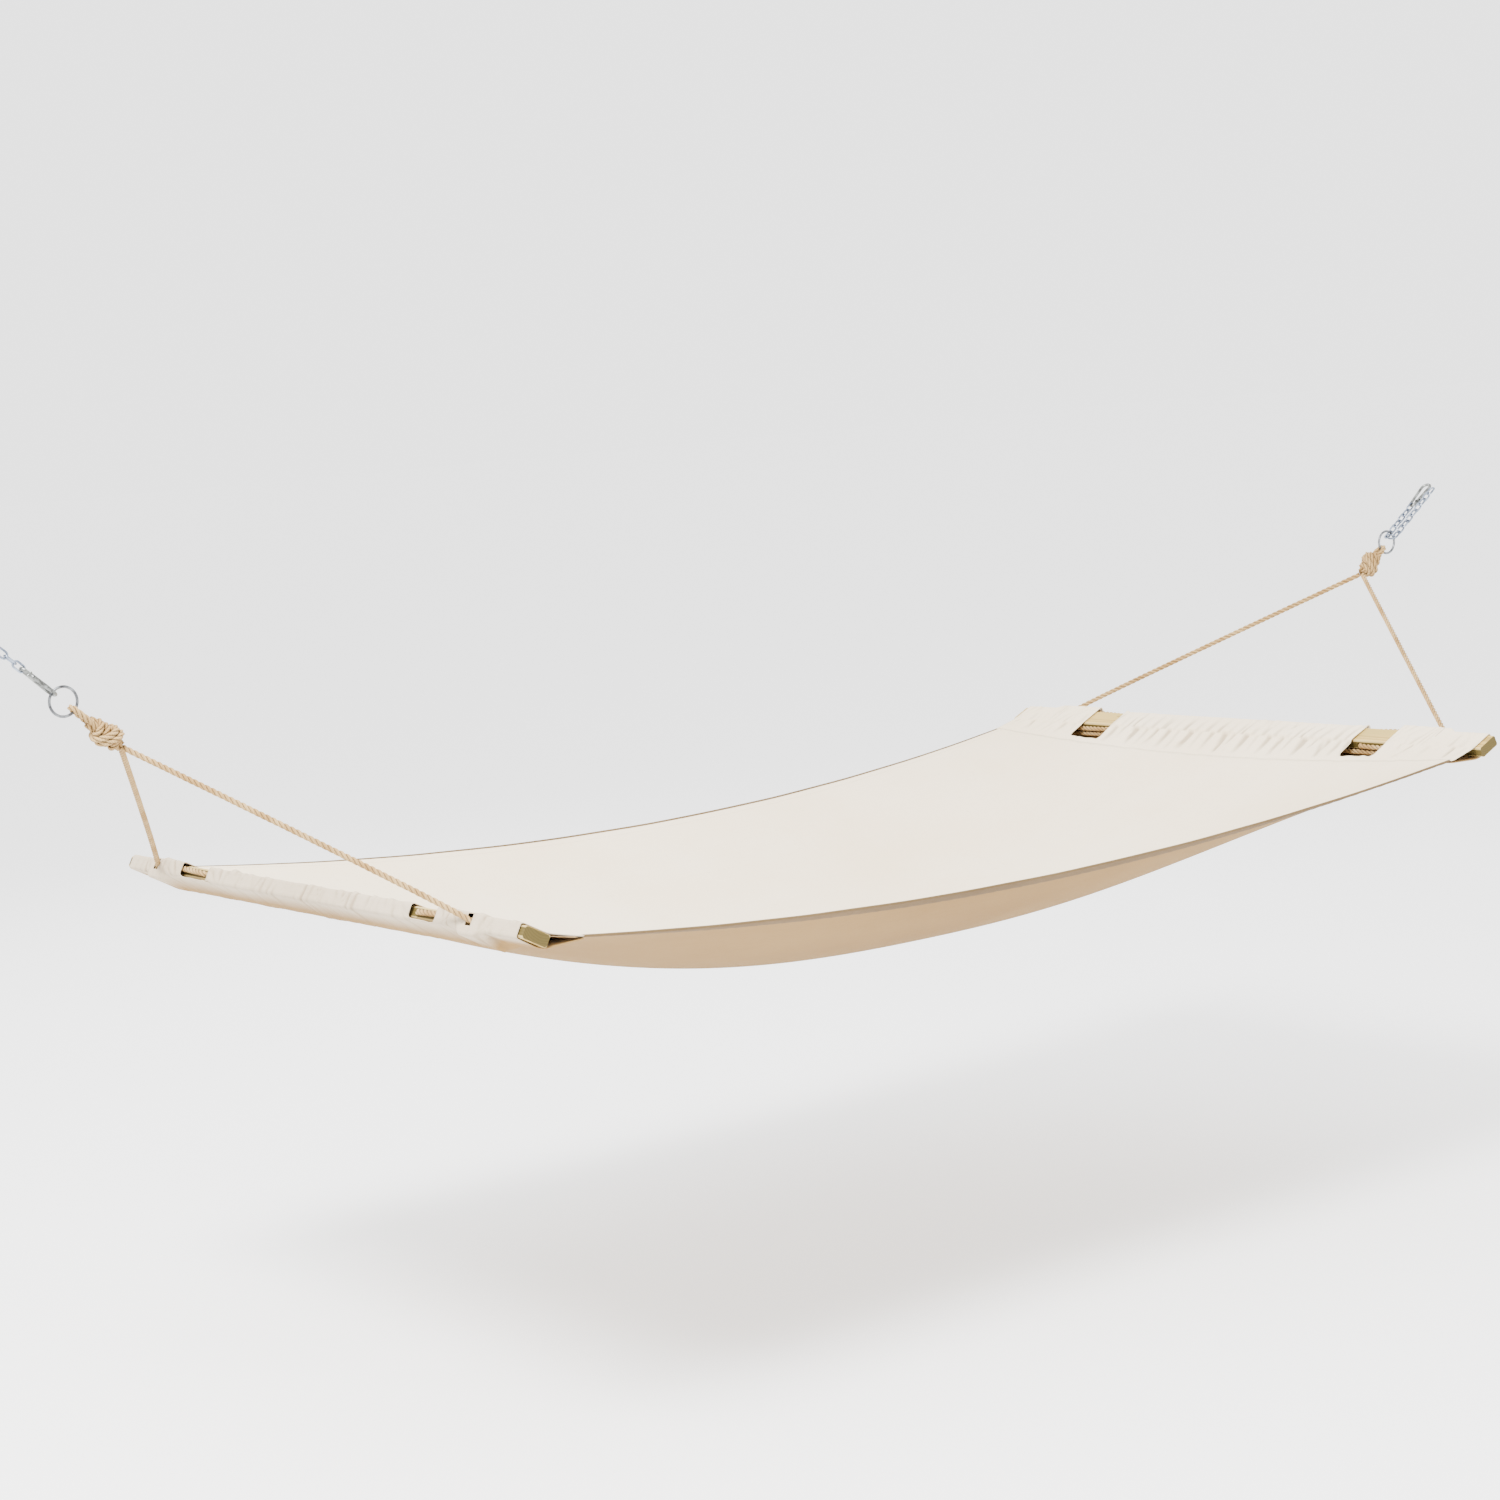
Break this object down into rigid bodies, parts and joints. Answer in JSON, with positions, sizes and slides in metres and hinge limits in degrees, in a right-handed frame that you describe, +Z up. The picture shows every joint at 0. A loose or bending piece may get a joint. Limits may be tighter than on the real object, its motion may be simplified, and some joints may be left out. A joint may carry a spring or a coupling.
{
  "type": "hammock",
  "caption": "Canvas hammock bed between two wooden spreader bars, hung by roped ends, steel rings, chains and snap hooks.",
  "frame": {"origin": "where the left chain's end link bears on its owner's hook, hanging", "axes": "+X from the left chain to the right one, +Y away from the viewer along the bars, +Z up"},
  "size_m": [3.5477, 1.4, 0.8053],
  "materials": {
    "canvas": "natural cotton canvas, matt",
    "hem": "folded and stitched canvas, matt",
    "bar_wood": "pressure-treated softwood, satin",
    "rope": "three-strand laid rope, matt",
    "ring_steel": "zinc-plated, satin",
    "chain_steel": "zinc-plated, satin",
    "hook_steel": "zinc-plated, satin"
  },
  "bodies": {
    "left_anchor": {"left_anchor_link": "chain_steel"},
    "left_chain": {"left_chain_link_1": "chain_steel", "left_chain_link_2": "chain_steel", "left_chain_link_3": "chain_steel", "left_chain_link_4": "chain_steel", "left_hook_body": "hook_steel", "left_hook_rivet": "hook_steel"},
    "left_gate": {"left_hook_gate": "hook_steel", "left_gate_spring": "hook_steel"},
    "right_chain": {"right_saddle_link": "chain_steel", "right_near_link_1": "chain_steel", "right_near_link_2": "chain_steel", "right_near_link_3": "chain_steel", "right_near_link_4": "chain_steel", "right_near_link_5": "chain_steel", "right_near_link_6": "chain_steel", "right_near_link_7": "chain_steel", "right_near_link_8": "chain_steel", "right_anchor_link": "chain_steel", "right_far_link_1": "chain_steel", "right_far_link_2": "chain_steel", "right_far_link_3": "chain_steel", "right_far_link_4": "chain_steel", "right_far_link_5": "chain_steel", "right_far_link_6": "chain_steel", "right_hook_body": "hook_steel", "right_hook_rivet": "hook_steel"},
    "right_gate": {"right_hook_gate": "hook_steel", "right_gate_spring": "hook_steel"},
    "bed": {"canvas_bed": "canvas", "near_hem": "hem", "far_hem": "hem", "left_sleeve": "canvas", "right_sleeve": "canvas", "left_spreader_bar": "bar_wood", "right_spreader_bar": "bar_wood", "left_bridle_rope": "rope", "right_bridle_rope": "rope", "left_knot": "rope", "right_knot": "rope", "left_ring_eye": "rope", "right_ring_eye": "rope"},
    "left_ring": {"left_ring": "ring_steel"},
    "right_ring": {"right_ring": "ring_steel"}
  },
  "joints": [
    {"name": "left_chain_swing", "type": "hinge", "parent": "left_anchor", "child": "left_chain", "pos_m": [0.01392, 0, -0.01293], "axis": [0.9999, 0, -0.0103], "range_deg": [-30, 30]},
    {"name": "right_chain_swing", "type": "hinge", "parent": "left_anchor", "child": "right_chain", "pos_m": [3.53264, 0, -0.04928], "axis": [0.9999, 0, -0.0103], "range_deg": [-30, 30]},
    {"name": "bed_tilt", "type": "hinge", "parent": "left_chain", "child": "bed", "pos_m": [0.11746, 0, -0.10908], "axis": [0.9999, 0, -0.012], "range_deg": [-25, 25]},
    {"name": "left_ring_spin", "type": "hinge", "parent": "bed", "child": "left_ring", "pos_m": [0.13395, 0, -0.1244], "axis": [0, 1, 0], "continuous": true},
    {"name": "right_ring_spin", "type": "hinge", "parent": "bed", "child": "right_ring", "pos_m": [3.37739, 0, -0.16173], "axis": [0, 1, 0], "continuous": true},
    {"name": "left_gate_hinge", "type": "hinge", "parent": "left_chain", "child": "left_gate", "pos_m": [0.07633, -0.00731, -0.07088], "axis": [0.6805, 0, 0.7327], "range_deg": [0, 18], "stiffness_Nm_per_rad": 0.02, "springref_deg": -17.19},
    {"name": "right_gate_hinge", "type": "hinge", "parent": "right_chain", "child": "right_gate", "pos_m": [3.49105, 0.00419, -0.07941], "axis": [-0.5866, 0, 0.8099], "range_deg": [0, 18], "stiffness_Nm_per_rad": 0.02, "springref_deg": -17.19}
  ],
  "couplings": [
    {"joint": "right_chain_swing", "follows": "left_chain_swing", "ratio": 1}
  ]
}
